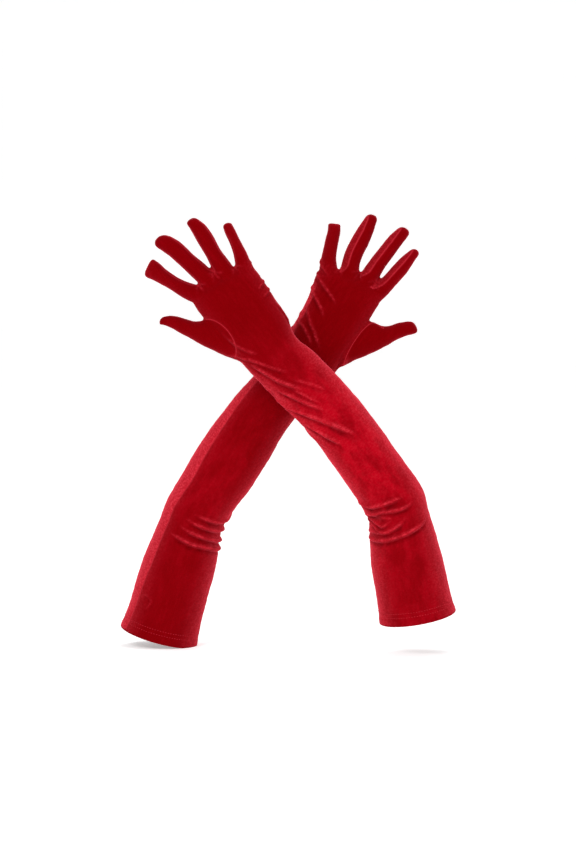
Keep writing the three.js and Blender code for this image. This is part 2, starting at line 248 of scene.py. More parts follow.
# Pads of the palm and the knuckles behind it: along, across, height, half length, half width.
PADS = {
    "front": [
        (38, 22, 4.2, 26, 13),
        (32, -20, 3.2, 28, 12),
        (100, 30, 1.3, 8, 9),
        (105, 10, 1.3, 8, 9),
        (101, -11, 1.3, 8, 9),
        (93, -30, 1.3, 8, 8),
        (64, 0, -2.6, 22, 14),
    ],
    "back": [
        (112, 31, 1.8, 8, 7),
        (116, 11, 2.0, 8, 7),
        (111, -11, 1.8, 8, 7),
        (101, -31, 1.6, 8, 6),
    ],
}

# Folds: axes, height, width, then the crest's path as (along, turn).
FOLDS = {
    "left": [
        ("forearm", 2.6, 3.0, [(34, 95), (31, 70), (22, 45), (17, 24), (13, 4), (10, -14), (9, -28)]),
        ("forearm", 2.4, 2.6, [
            (21, 92), (17, 70), (13, 47), (10, 30), (5, 14), (-1, -8), (-3, -27), (-1, -42),
        ]),
        ("upper", 1.9, 2.0, [(1, 95), (-3, 72), (-8, 52), (-13, 36), (-11, 26), (-6, 14)]),
        ("upper", 1.6, 1.9, [(-5, 92), (-9, 68), (-15, 50), (-17, 36)]),
        ("upper", 1.0, 2.6, [(1, 54), (-2, 33), (-5, 10)]),
        ("upper", 2.0, 2.8, [(-21, 98), (-19, 54), (-20, 28), (-17, 14), (-13, 1), (-5, -16)]),
        ("upper", 2.7, 3.0, [
            (-28, 102), (-28, 71), (-29, 38), (-26, 3), (-22, -22), (-16, -50), (-10, -62),
        ]),
        ("forearm", 2.6, 3.4, [
            (194, 102), (185, 88), (167, 58), (150, 36), (129, 14), (105, -8), (94, -17),
        ]),
        ("forearm", 1.2, 2.2, [(212, 90), (198, 78), (187, 85), (172, 86), (155, 70)]),
        ("forearm", 2.5, 3.2, [(166, 86), (155, 70), (139, 54), (122, 38), (104, 22), (96, 15)]),
        ("forearm", 1.2, 2.4, [(249, 52), (240, 46), (221, 26), (210, 12), (202, 2)]),
        ("forearm", 2.1, 3.2, [(243, 60), (235, 52), (224, 45), (198, 26), (184, 14), (173, 5)]),
        ("forearm", 2.3, 3.0, [(200, 54), (189, 42), (170, 26), (150, 10), (140, 1)]),
        ("forearm", 1.5, 2.0, [(186, 25), (176, 16), (160, 6), (152, 0)]),
        ("forearm", 1.1, 2.4, [(196, 10), (187, 0), (169, -18), (157, -26)]),
        ("forearm", 1.2, 2.8, [(142, 102), (130, 84), (118, 66), (106, 50)]),
        ("forearm", 0.9, 3.4, [(127, 14), (113, 0), (100, -14)]),
        ("hand", 1.2, 2.0, [(109, -92), (107, -74), (101, -52)]),
        ("hand", 1.3, 2.0, [(84, -108), (81, -82), (80, -58), (77, -40)]),
        ("hand", 1.2, 2.0, [(72, -108), (70, -80), (68, -52), (66, -40)]),
        ("hand", 1.4, 2.8, [(22, -84), (32, -76), (42, -72), (53, -66)]),
        ("hand", 1.0, 2.4, [(60, 52), (50, 47), (39, 42), (25, 30), (16, 20)]),
        ("hand", 1.0, 2.4, [(42, 78), (27, 57), (17, 42), (6, 28)]),
    ],
    "right": [
        ("forearm", 2.0, 2.6, [
            (32, 135), (29, 118), (26, 104), (19, 86), (14, 62), (10, 44), (6, 18), (3, -8),
        ]),
        ("upper", 2.8, 2.7, [(-6, 140), (-8, 112), (-7, 88), (-7, 56), (-5, 26), (-2, 0), (2, -17)]),
        ("upper", 2.8, 2.7, [
            (-19, 135), (-21, 104), (-20, 75), (-18, 48), (-16, 20), (-13, -4), (-9, -25),
        ]),
        ("upper", 2.6, 2.9, [
            (-30, 130), (-31, 98), (-30, 70), (-28, 40), (-27, 8), (-25, -6), (-22, -29), (-20, -40),
        ]),
        ("upper", 0.6, 1.8, [(-109, -52), (-102, -42), (-102, -33), (-107, -27), (-116, -33), (-120, -44)]),
        ("hand", 1.1, 2.2, [(112, -110), (108, -88), (104, -58), (98, -40)]),
        ("hand", 1.4, 2.4, [(98, -106), (94, -76), (87, -41), (79, -14), (74, -4)]),
        ("hand", 1.5, 2.6, [(80, -102), (76, -70), (68, -41), (60, -23), (54, -14)]),
        ("hand", 1.2, 2.6, [(66, -84), (57, -60), (45, -38), (31, -10), (20, 12)]),
        ("hand", 1.3, 2.6, [(50, -110), (45, -88), (35, -46), (27, -22), (18, -6)]),
        ("hand", 1.3, 2.6, [(30, -104), (18, -62), (6, -34), (-4, -18)]),
        ("hand", 1.0, 2.6, [(34, 60), (24, 68), (8, 78)]),
    ],
}

# The side seam runs up from the hem, as turn at each height above the elbow.
SIDE_SEAM = {
    "left": [(-130, -105), (320, -105)],
    "right": [(-144, -60), (-63, -50), (-20, -50), (32, -42), (109, -50), (168, -56), (320, -60)],
}
STRIP_TURN = {"left": 0, "right": 38}    # how far the strips between the fingers are twisted to the palm

# Painted light and shade up the arm: how lit the pile is painted, from dark 0 to bright 1, at heights above
# the elbow.
LIT_TONES = {
    "left": [(-130, 0.33), (-60, 0.3), (0, 0.52), (60, 0.76), (150, 0.62), (200, 0.34), (240, 0.1), (280, 0)],
    "right": [(-145, 0.05), (-40, 0.14), (0, 0.3), (60, 0.24), (150, 0.12), (220, 0), (240, 0)],
}
# How much painted sheen the arm takes where it turns to the side, at heights above the elbow.
SIDE_SHEEN = {
    "left": [(-130, 0.5), (0, 0.5), (100, 0.75), (200, 0.6), (235, 0.15), (330, 0.15)],
    "right": [(-145, 0.45), (0, 0.4), (100, 0.35), (200, 0.3), (235, 0.15), (330, 0.15)],
}
PANEL_SHEEN = {"left": 0, "right": 0.85}    # how much painted sheen the panel beyond the side seam takes
PANEL_EDGE = (24, 34)      # distances beyond the side seam over which that panel's painted sheen ends
SIDEWAYS = (24, 82)        # turns away from front and back over which the painted sheen comes in
# how much painted sheen the strips between the fingers take
STRIP_SHEEN = {"left": 0.05, "right": 0.22}
STRIP_SEAM_HIGHLIGHT = {"left": 0.5, "right": 1}    # how strongly the painted highlight along the seams beside the strips shows

UPPER_ANGLE = {"left": 9.9, "right": 15.2}
UPPER_TILT = 6
SIDE = {"left": -1, "right": 1}          # which way the thumb points, along X


# ---- axes ----

class Axes:
    """A limb's own axes. Local points are (across towards the thumb, out of the palm face, along)."""

    def __init__(self, origin, along, across, side):
        palm_face = -side * np.cross(along, across)
        self.origin = np.array(origin, float)
        self.rows = np.array([across, palm_face, along])

    def local(self, points):
        return (points - self.origin) @ self.rows.T

    def world(self, points):
        return np.asarray(points, float) @ self.rows + self.origin


def unit(vector):
    return np.array(vector, float) / np.linalg.norm(vector)


def joint(name):
    return next(j for j in frame["joints"] if j["name"] == name)


def place_of(name):
    return 1000 * np.array(joint(name)["pos_m"])


def axes_at(name, side):
    """The axes of the limb beyond a joint whose axis runs across it."""
    x, _, z = unit(joint(name)["axis"])
    return Axes(place_of(name), (-z, 0, x), (side * x, 0, side * z), side)


def glove_axes(label):
    side = SIDE[label]
    elbow, wrist = place_of(f"{label}_elbow"), place_of(f"{label}_wrist")
    x, _, z = unit(wrist - elbow)
    angle, tilt = math.radians(UPPER_ANGLE[label] * side), math.radians(UPPER_TILT)
    up = (math.cos(tilt) * math.sin(angle), -math.sin(tilt), math.cos(tilt) * math.cos(angle))
    axes = {
        "upper": Axes(elbow, up, (side * math.cos(angle), 0, -side * math.sin(angle)), side),
        "forearm": Axes(elbow, (x, 0, z), (side * z, 0, -side * x), side),
        "hand": axes_at(f"{label}_wrist", side),
    }
    for finger in FINGERS:
        axes[finger] = axes_at(f"{label}_{finger}_knuckle", side)
    across, _, along = axes["hand"].rows
    splay = math.radians(THUMB_BASE["splay"])
    axes["thumb"] = Axes(
        axes["hand"].world((THUMB_BASE["across"], 0, THUMB_BASE["along"])),
        math.cos(splay) * along + math.sin(splay) * across,
        math.cos(splay) * across - math.sin(splay) * along,
        side,
    )
    return axes


# ---- curves and tubes ----

def smooth_rows(rows, step):
    """Rows along a smooth curve through the given ones, about a step apart. Columns 0 to 2 are a place."""
    rows = np.array(rows, float)
    at = np.concatenate([[0], np.cumsum(np.linalg.norm(np.diff(rows[:, :3], axis=0), axis=1))])
    slope = np.empty_like(rows)
    slope[1:-1] = (rows[2:] - rows[:-2]) / (at[2:] - at[:-2])[:, None]
    slope[0] = (rows[1] - rows[0]) / (at[1] - at[0])
    slope[-1] = (rows[-1] - rows[-2]) / (at[-1] - at[-2])
    t = np.linspace(0, at[-1], max(2, int(at[-1] / step) + 1))
    i = np.clip(np.searchsorted(at, t, "right") - 1, 0, len(at) - 2)
    gap = (at[i + 1] - at[i])[:, None]
    u = (t - at[i])[:, None] / gap
    return (
        (2 * u**3 - 3 * u**2 + 1) * rows[i]
        + (u**3 - 2 * u**2 + u) * gap * slope[i]
        + (3 * u**2 - 2 * u**3) * rows[i + 1]
        + (u**3 - u**2) * gap * slope[i + 1]
    )


def squared(value, squareness):
    return np.sign(value) * np.abs(value) ** (2 / squareness)


def oval(centre, across, front, squareness=2.0, sides=72):
    """A ring of points. It starts in front and turns towards the across vector."""
    turn = np.linspace(0, 2 * np.pi, sides, endpoint=False)
    return (
        centre
        + np.outer(squared(np.sin(turn), squareness), across)
        + np.outer(squared(np.cos(turn), squareness), front)
    )


def grid_faces(rows, columns, closed=True):
    """The faces of a grid of points, whose columns go round if it is closed."""
    faces = []
    for row in range(rows - 1):
        for column in range(columns if closed else columns - 1):
            right = (column + 1) % columns
            a, b = row * columns + column, row * columns + right
            faces.append((a, b, b + columns, a + columns))
    return faces


def closed_tube(rings):
    """Points and faces of a tube through rings, closed at both ends."""
    rings = np.array(rings)
    count, sides, _ = rings.shape
    faces = grid_faces(count, sides)
    faces.append(tuple(range(sides))[::-1])
    faces.append(tuple((count - 1) * sides + i for i in range(sides)))
    return rings.reshape(-1, 3), faces


def arm_rings(label, axes):
    """Rings up the arm and the palm, from a little below the hem, where the tube is slightly wider."""
    along, outer, thumb_side, depth = ARM[label]["upper"][0]
    below_hem = (along - HEM_RUN_ON, outer - 0.6, thumb_side + 0.6, depth + 0.4)
    stations = [("upper", below_hem)]
    for name, limb_stations in ARM[label].items():
        stations += [(name, station) for station in limb_stations]
    rows = []
    for name, (along, outer, thumb_side, depth, *shape) in stations:
        squareness, lean = shape or (2, 0)
        limb = axes[name]
        low = limb.world((outer, 0, along - lean / 2))
        high = limb.world((thumb_side, 0, along + lean / 2))
        rows.append([*(low + high) / 2, *(high - low) / 2, *limb.rows[1] * depth, squareness])
    return [oval(row[:3], row[3:6], row[6:9], row[9]) for row in smooth_rows(rows, 3)]


def finger_rings(shape, limb, thickest):
    """Rings up a finger, which curls a little towards the palm face and closes at its tip."""
    tip, tip_centre, tip_squareness = shape["tip"]
    rows = []
    for along, centre, half in shape["stations"]:
        flat_end = half > FLAT_END["half_width"] and along > tip / 2
        depth = FLAT_END["half_depth"] if flat_end else min(0.97 * half, thickest)
        rows.append([centre, CURL * max(0, along / tip) ** 2, along, half, depth])
    rows = smooth_rows(rows, 2).tolist()
    last_centre, curl, last_along, last_half, last_depth = rows[-1]
    for share in (0.25, 0.5, 0.7, 0.84, 0.93, 0.98, 0.998):
        centre = last_centre + (tip_centre - last_centre) * share
        along = last_along + (tip - last_along) * share
        half = last_half * (1 - share**tip_squareness) ** (1 / tip_squareness)
        rows.append([centre, curl, along, half, last_depth * (1 - share**2) ** 0.5])
    rings = []
    for *place, half, depth in rows:
        across, front = limb.rows[0] * max(half, 0.3), limb.rows[1] * max(depth, 0.3)
        rings.append(oval(limb.world(place), across, front, sides=40))
    return rings


# ---- the skin ----

def neighbour_mean(values, edges):
    count = np.bincount(edges.ravel(), minlength=len(values))
    both = np.concatenate([edges, edges[:, ::-1]])
    sums = [np.bincount(both[:, 0], column[both[:, 1]], len(values)) for column in values.T]
    return np.stack(sums, axis=1) / count[:, None]


def sides_of(triangles):
    """The edges of all triangles in their own direction: every first edge, then every second and third."""
    return np.concatenate([triangles[:, [0, 1]], triangles[:, [1, 2]], triangles[:, [2, 0]]])


def edges_of(triangles):
    return np.unique(np.sort(sides_of(triangles), axis=1), axis=0)


def smoothed(points, edges, share, rounds):
    """Moves each point towards its neighbours' mean and back out again, so that the skin keeps its size."""
    for _ in range(rounds):
        for pull in (0.6, -0.5):
            points = points + pull * share[:, None] * (neighbour_mean(points, edges) - points)
    return points


def normals_of(points, triangles):
    a, b, c = (points[triangles[:, k]] for k in range(3))
    facing = np.cross(b - a, c - a)
    sums = [sum(np.bincount(corner, column, len(points)) for corner in triangles.T) for column in facing.T]
    normals = np.stack(sums, axis=1)
    return normals / np.maximum(np.linalg.norm(normals, axis=1), 1e-9)[:, None]


def joined_skin(parts):
    """One closed skin round all the given tubes, as points and triangles."""
    points, faces = [], []
    for part_points, part_faces in parts:
        start = sum(len(p) for p in points)
        points.append(part_points)
        faces += [tuple(start + i for i in face) for face in part_faces]
    mesh = bpy.data.meshes.new("tubes")
    mesh.from_pydata(np.concatenate(points) / 1000, [], faces)
    tubes = bpy.data.objects.new("tubes", mesh)
    bpy.context.scene.collection.objects.link(tubes)
    remesh = tubes.modifiers.new("skin", "REMESH")
    remesh.mode = "VOXEL"
    remesh.voxel_size = VOXEL / 1000
    depsgraph = bpy.context.evaluated_depsgraph_get()
    skin = bpy.data.meshes.new_from_object(tubes.evaluated_get(depsgraph))
    skin.calc_loop_triangles()
    coordinates = np.empty(3 * len(skin.vertices), np.float32)
    corners = np.empty(3 * len(skin.loop_triangles), np.int32)
    skin.vertices.foreach_get("co", coordinates)
    skin.loop_triangles.foreach_get("vertices", corners)
    bpy.data.objects.remove(tubes)
    bpy.data.meshes.remove(mesh)
    bpy.data.meshes.remove(skin)
    return 1000.0 * coordinates.reshape(-1, 3).astype(float), corners.reshape(-1, 3)


def step_up(value, low, high):
    t = np.clip((value - low) / (high - low), 0, 1)
    return t * t * (3 - 2 * t)


def band(value, start, full, fading, end):
    """Up from 0 at the start to 1, and down to 0 again at the end."""
    return step_up(value, start, full) * (1 - step_up(value, fading, end))


class ArmPlaces:
    """Where points lie on a glove's arm and palm tube, as height along and turn round one limb's axes."""

    def __init__(self, label, axes):
        self.axes = axes
        self.sections = {}
        for name, stations in ARM[label].items():
            heights, outer, thumb_side, depths = np.array([station[:4] for station in stations]).T
            centres, half_widths = (outer + thumb_side) / 2, (thumb_side - outer) / 2
            self.sections[name] = np.array([heights, centres, half_widths, depths])

    def section(self, name, along):
        """The tube's centre, half width and half depth at some heights."""
        heights, *columns = self.sections[name]
        return [np.interp(along, heights, column) for column in columns]

    def turn(self, name, points):
        across, front, along = self.axes[name].local(points).T
        centre, half_width, half_depth = self.section(name, along)
        return along, np.degrees(np.arctan2((across - centre) / half_width, front / half_depth))

    def up_the_arm(self, points):
        """Height above the elbow, and turn, with each point read in the limb that it is on."""
        along, turn = self.turn("forearm", points)
        low, low_turn = self.turn("upper", points)
        high, high_turn = self.turn("hand", points)
        wrist = self.axes["forearm"].local(self.axes["hand"].origin)[2]
        below = low + along < 0
        height = np.where(below, low, np.where(high > 0, high + wrist, along))
        return height, np.where(below, low_turn, np.where(high > 0, high_turn, turn))

    def surface(self, name, along, turn, inset=0.0):
        """World points on the tube, and the directions out of it."""
        centre, half_width, half_depth = self.section(name, along)
        angle = np.radians(turn)
        local = np.stack(
            [
                centre + (half_width - inset) * np.sin(angle),
                (half_depth - inset) * np.cos(angle),
                along + 0 * angle,
            ],
            axis=-1,
        )
        outward = np.stack([np.sin(angle), np.cos(angle), 0 * angle], axis=-1)
        return self.axes[name].world(local), outward @ self.axes[name].rows


def bell(value, middle, width):
    return np.exp(-(((value - middle) / width) ** 2))


def fold_profile(below):
    """A fold's height at a distance below its crest, in widths: it droops, so its lower side is steeper."""
    crest = np.exp(-np.where(below > 0, (below / 0.75) ** 2, below**2))
    return crest - 0.5 * bell(below, 1.4, 0.55) - 0.2 * bell(below, -2, 0.9)


def fold_effect(places, points, fold):
    """How far one fold lifts each point, and how much painted highlight its crest and painted shade its
    valley give there.
    """
    name, height, width, path = fold
    along, turn = places.turn(name, points)
    arc = math.radians(1) * places.section(name, np.mean([p[0] for p in path]))[1]
    crest = smooth_rows([(a, t * arc, 0) for a, t in path], 1.2)
    round_it = turn * arc
    low, high = crest.min(axis=0) - 4 * width, crest.max(axis=0) + 4 * width
    near = (along > low[0]) & (along < high[0]) & (round_it > low[1]) & (round_it < high[1])
    at = np.stack([along[near], round_it[near]], axis=1)
    apart = np.linalg.norm(at[:, None] - crest[None, :, :2], axis=2)
    nearest = apart.argmin(axis=1)
    below = apart.min(axis=1) / width * np.where(at[:, 0] < crest[nearest, 0], 1, -1)
    share = nearest / (len(crest) - 1)
    taper = step_up(np.minimum(share, 1 - share), 0, FOLD_TAPER)
    below /= 0.7 + 0.3 * taper
    broken = 0.65 + 0.35 * waves(points[near], seed=len(path), shortest=5, longest=13)
    effect = np.zeros((len(points), 3))
    effect[near, 0] = height * taper * fold_profile(below)
    strength = min(1, height / FULL_FOLD) * taper * broken * (0.85 if name == "hand" else 1)
    # a painted highlight along the crest and painted shade in the valley below it
    effect[near, 1] = strength * bell(below, -0.2, 0.55)
    effect[near, 2] = strength * bell(below, 1.5, 1.0)
    return effect


def pucker_effect(label, axes, points, normals):
    """Short creases that fan out over the palm from the crotch between each two fingers, with a painted
    highlight at each crotch and along each crease.
    """
    effect = np.zeros((len(points), 3))
    hand = axes["hand"]
    across, _, along = hand.local(points).T
    on_palm = step_up(normals @ hand.rows[1], 0.0, 0.5) * (along > 70)
    broken = 0.5 + 0.5 * waves(points, seed=11, shortest=4, longest=9)
    for first, second in zip(FINGERS, FINGERS[1:]):
        crotch = hand.local((axes[first].world((0, 0, 4)) + axes[second].world((0, 0, 4))) / 2)
        apart = np.stack([across - crotch[0], along - crotch[2]], axis=1)
        effect[:, 1] += 0.5 * on_palm * broken * bell(np.linalg.norm(apart, axis=1), 0, 3.2)
        for lean, height in PUCKERS:
            way = np.array([math.sin(math.radians(lean)), -math.cos(math.radians(lean))])
            reach = apart @ way
            off = apart @ np.array([-way[1], way[0]])
            fade = band(reach, *CROTCH_AREA) * on_palm
            effect[:, 0] += height * fade * bell(off, 0, 1.7)
            effect[:, 1] += 0.45 * height * fade * broken * bell(off, 0.4, 1.2)
    return effect


def pad_heights(axes, points, normals):
    """How far the pads of the palm and the knuckles lift the skin."""
    lifted = np.zeros(len(points))
    across, _, along = axes["hand"].local(points).T
    facing = normals @ axes["hand"].rows[1]
    for face, pads in PADS.items():
        on_face = step_up(facing if face == "front" else -facing, 0.1, 0.8)
        for pad_along, pad_across, height, half_length, half_width in pads:
            far = ((along - pad_along) / half_length) ** 2 + ((across - pad_across) / half_width) ** 2
            lifted += height * on_face * np.exp(-far)
    return lifted


def waves(points, seed, shortest, longest, count=9):
    """A soft, uneven waviness between -1 and 1."""
    draw = np.random.default_rng(seed)
    total = np.zeros(len(points))
    for _ in range(count):
        direction = unit(draw.normal(size=3))
        length = draw.uniform(shortest, longest)
        total += np.sin(2 * np.pi * (points @ direction) / length + draw.uniform(0, 2 * np.pi))
    return total / count**0.5 / 1.5


def seam_distance(places, label, points):
    """Signed distance round the arm from the side seam, negative on the little-finger side."""
    height, turn = places.up_the_arm(points)
    heights, turns = np.array(SIDE_SEAM[label]).T
    off = (turn - np.interp(height, heights, turns) + 180) % 360 - 180
    forearm_height = places.axes["forearm"].local(points)[:, 2]
    return np.radians(off) * places.section("forearm", forearm_height)[2]


def side_seam_reach(places, points):
    """1 where the side seam shows, down to 0 beyond its upper end."""
    return 1 - step_up(places.axes["hand"].local(points)[:, 2], *SIDE_SEAM_END)


def hem_height(places, points):
    return places.axes["upper"].local(points)[:, 2] - places.sections["upper"][0][0]


def relief(label, places, points, normals):
    """How far each point stands proud of the plain tubes, and its share of painted highlight and of painted
    shade.
    """
    effect = pucker_effect(label, places.axes, points, normals)
    for fold in FOLDS[label]:
        effect += fold_effect(places, points, fold)
    lifted = effect[:, 0] + pad_heights(places.axes, points, normals)
    above_hem = hem_height(places, points)
    calm = step_up(above_hem, 12, 40)
    in_hand = step_up(places.axes["hand"].local(points)[:, 2], 60, 110)
    for seed, (height, less, shortest, longest) in zip(WAVE_SEEDS[label], WAVINESS):
        lifted += calm * (height - less * in_hand) * waves(points, seed, shortest, longest)
    depth, width = GROOVES["side_seam"]
    lifted -= depth * side_seam_reach(places, points) * bell(seam_distance(places, label, points), 0, width)
    depth, width = GROOVES["stitches"]
    for row in STITCH_ROWS.values():
        lifted -= depth * bell(above_hem, row, width)
    lifted += HEM_ROLL["height"] * bell(above_hem, HEM_ROLL["middle"], HEM_ROLL["width"])
    return lifted, np.clip(effect[:, 1:], 0, 1)


# ---- cutting the skin ----

def cut(points, triangles, values, near):
    """Adds points where values is 0, so that no triangle near it has points on both sides.

    A point's row may run on past its place, and what follows is carried over to the new points.
    """
    values = np.where(np.abs(values) < SNAP, 0, values)
    crosses = np.zeros(len(triangles), bool)
    for k in range(3):
        i, j = triangles[:, k], triangles[:, (k + 1) % 3]
        crosses |= (values[i] * values[j] < 0) & near[i] & near[j]
    made, added, kept = {}, [], [triangles[~crosses]]

    def crossing(i, j):
        if not (values[i] * values[j] < 0 and near[i] and near[j]):
            return None
        key = (min(i, j), max(i, j))
        if key not in made:
            share = values[i] / (values[i] - values[j])
            made[key] = len(points) + len(added)
            added.append(points[i] + share * (points[j] - points[i]))
        return made[key]

    pieces = []
    for corner in triangles[crosses].tolist():
        crossed = [crossing(corner[k], corner[(k + 1) % 3]) for k in range(3)]
        if crossed.count(None) == 2:
            k = next(k for k in range(3) if crossed[k] is not None)
            a, b, c = (corner[(k + n) % 3] for n in range(3))
            pieces += [(a, crossed[k], c), (crossed[k], b, c)]
        else:
            k = crossed.index(None)
            a, b, c = (corner[(k + n) % 3] for n in range(3))
            p, q = crossed[(k + 1) % 3], crossed[(k + 2) % 3]
            pieces += [(a, b, p), (a, p, q), (q, p, c)]
    if pieces:
        kept.append(np.array(pieces))
        points = np.vstack([points, added])
    return points, np.concatenate(kept)


class Fields:
    """For every point, how far it lies past each place where the skin is cut."""

    def __init__(self, label, places, points):
        self.forearm = places.axes["forearm"].local(points)[:, 2] - SLEEVE_TOP
        self.thumb = self.past_thumb_seam(label, places.axes, points)
        self.finger = np.full(len(points), -1)
        self.height = np.full(len(points), NO_FINGER)
        self.strips = np.full((2, len(points)), OFF_STRIP)
        self.find_fingers(label, places.axes, points)

    @staticmethod
    def past_thumb_seam(label, axes, points):
        """Positive inside the seam's oval, and on all of the thumb that stands out beyond it."""
        across, _, along = axes["hand"].local(points).T
        seam = THUMB_SEAM[label]
        off_along, off_across = along - seam["along"], across - seam["across"]
        far = np.hypot(off_along / seam["half_along"], off_across / seam["half_across"])
        past = (1 - far) * 0.5 * (seam["half_across"] + seam["half_along"])
        level = np.abs(off_along) < seam["half_along"]
        outward = np.where(level, np.maximum(past, WELL_PAST), -WELL_PAST)
        past = np.where(off_across > 0, outward, past)
        thumb_across, _, thumb_height = axes["thumb"].local(points).T
        on_shaft = (thumb_height > THUMB_SHAFT["height"]) & (thumb_across > THUMB_SHAFT["thumb_across"])
        return np.where(on_shaft & (across > THUMB_SHAFT["hand_across"]), WELL_PAST, past)

    def find_fingers(self, label, axes, points):
        """The finger that each point is on, its height there and how far inside each strip it lies."""
        nearest = np.full(len(points), FINGER_REACH)
        for index, finger in enumerate(FINGERS):
            shape = FINGER_SHAPES[label][finger]
            tip = shape["tip"][0]
            heights, centres, halves = np.array(shape["stations"]).T
            across, front, along = axes[finger].local(points).T
            across = across - np.interp(along, heights, centres)
            front = front - CURL * np.clip(along / tip, 0, 1) ** 2
            far = np.hypot(across, front) / np.interp(along, heights, halves)
            mine = (far < nearest) & (along > FINGER_SPAN[0]) & (along < tip + FINGER_SPAN[1])
            nearest = np.where(mine, far, nearest)
            self.finger = np.where(mine, index, self.finger)
            self.height = np.where(mine, along, self.height)
            half_strip = self.half_strip(along, tip)
            for row, towards in enumerate((-1, 1)):
                inside = np.full(len(points), OFF_STRIP)
                if (finger, towards) not in (("index", 1), ("little", -1)):
                    turn = np.degrees(np.arctan2(across, front)) - towards * 90 - STRIP_TURN[label]
                    off = np.radians(np.abs((turn + 180) % 360 - 180))
                    inside = half_strip - off * np.minimum(np.hypot(across, front), 10)
                self.strips[row] = np.where(mine, inside, self.strips[row])

    @staticmethod
    def half_strip(along, tip):
        """Half a strip's width: it grows from below the knuckle and narrows to a point near the tip."""
        to_tip = np.clip((tip - STRIP_TIP["stop"] - along) / (STRIP_TIP["taper"] * tip), -1, 1)
        half = STRIP_HALF_WIDTH * np.sign(to_tip) * np.sqrt(np.abs(to_tip))
        return half * np.where(along < STALL_START, step_up(along, STRIP_START, STALL_START), 1)


def longest_loop(edges):
    """The points of the longest closed line that the edges make, in order."""
    follows = dict(edges.tolist())
    loops = []
    while follows:
        loop = [next(iter(follows))]
        while loop[-1] in follows:
            loop.append(follows.pop(loop[-1]))
        loops.append(loop[:-1])
    return max(loops, key=len)


# ---- materials ----

DEEP = (0.168, 0.0, 0.0012)
# the painted lit tone: the deep red is blended towards it where the arm is painted as lit
LIT_RED = (0.37, 0.0008, 0.007)
# the painted glints of the pile's flecks
FLECK_GLINT = (0.6, 0.032, 0.05)
# the colour of the painted sheen
PAINTED_SHEEN_COLOUR = (0.6, 0.018, 0.035)
# the painted highlight along the seams
SEAM_HIGHLIGHT = (0.62, 0.03, 0.05)
# the painted shade in the fold valleys
SHADED = (0.07, 0.0, 0.0005)
THREAD_COLOURS = ((0.36, 0.005, 0.014), (0.55, 0.02, 0.035))
KNIT_COLOURS = ((0.2, 0.004, 0.012), (0.36, 0.015, 0.03))


def feed(socket, value):
    """Sets a socket to a number or a colour, or links it to the output that makes its value."""
    if isinstance(value, bpy.types.NodeSocket):
        socket.id_data.links.new(value, socket)
    elif socket.type == "RGBA":
        socket.default_value = (*value, 1)
    else:
        socket.default_value = value


def new_node(tree, kind, inputs, **settings):
    """A new shader node, with its settings, and with its inputs by name or by number."""
    node = tree.nodes.new(f"ShaderNode{kind}")
    for name, value in settings.items():
        setattr(node, name, value)
    for name, value in inputs.items():
        feed(node.inputs[name], value)
    return node


def attribute(tree, name, output="Fac"):
    return new_node(tree, "Attribute", {}, attribute_name=name).outputs[output]


def noise(tree, place, stretch, detail, scale, roughness=0.6):
    """Noise over the cloth's own millimetres, stretched along its axes."""
    stretched = new_node(tree, "Mapping", {"Vector": place, "Scale": stretch}).outputs["Vector"]
    inputs = {"Vector": stretched, "Scale": scale, "Detail": detail, "Roughness": roughness}
    return new_node(tree, "TexNoise", inputs).outputs["Fac"]


def ramp(tree, value, low, high, bottom=0.0, top=1.0):
    inputs = {"Value": value, "From Min": low, "From Max": high, "To Min": bottom, "To Max": top}
    return new_node(tree, "MapRange", inputs, interpolation_type="SMOOTHSTEP").outputs["Result"]


def product(tree, first, second):
    return new_node(tree, "Math", {0: first, 1: second}, operation="MULTIPLY").outputs["Value"]


def summed(tree, first, second, share):
    """first + share * second, kept between 0 and 1."""
    inputs = {0: second, 1: share, 2: first}
    return new_node(tree, "Math", inputs, operation="MULTIPLY_ADD", use_clamp=True).outputs["Value"]


def blend_colour(tree, factor, first, second):
    """Mixes towards the second colour. A mix node has inputs 6 and 7 and output 2 for colours."""
    return new_node(tree, "Mix", {0: factor, 6: first, 7: second}, data_type="RGBA").outputs[2]


def bump(tree, height, distance, strength=1.0, **under):
    """The surface's facing over a relief this deep, in metres, on top of any relief under it."""
    inputs = {"Height": height, "Distance": distance, "Strength": strength, **under}
    return new_node(tree, "Bump", inputs).outputs["Normal"]


def new_material(name):
    material = bpy.data.materials.new(name)
    material.use_nodes = True
    return material


def set_surface(material, inputs):
    """Sets the inputs of a material's own surface shader."""
    for name, value in inputs.items():
        feed(material.node_tree.nodes["Principled BSDF"].inputs[name], value)
    return material


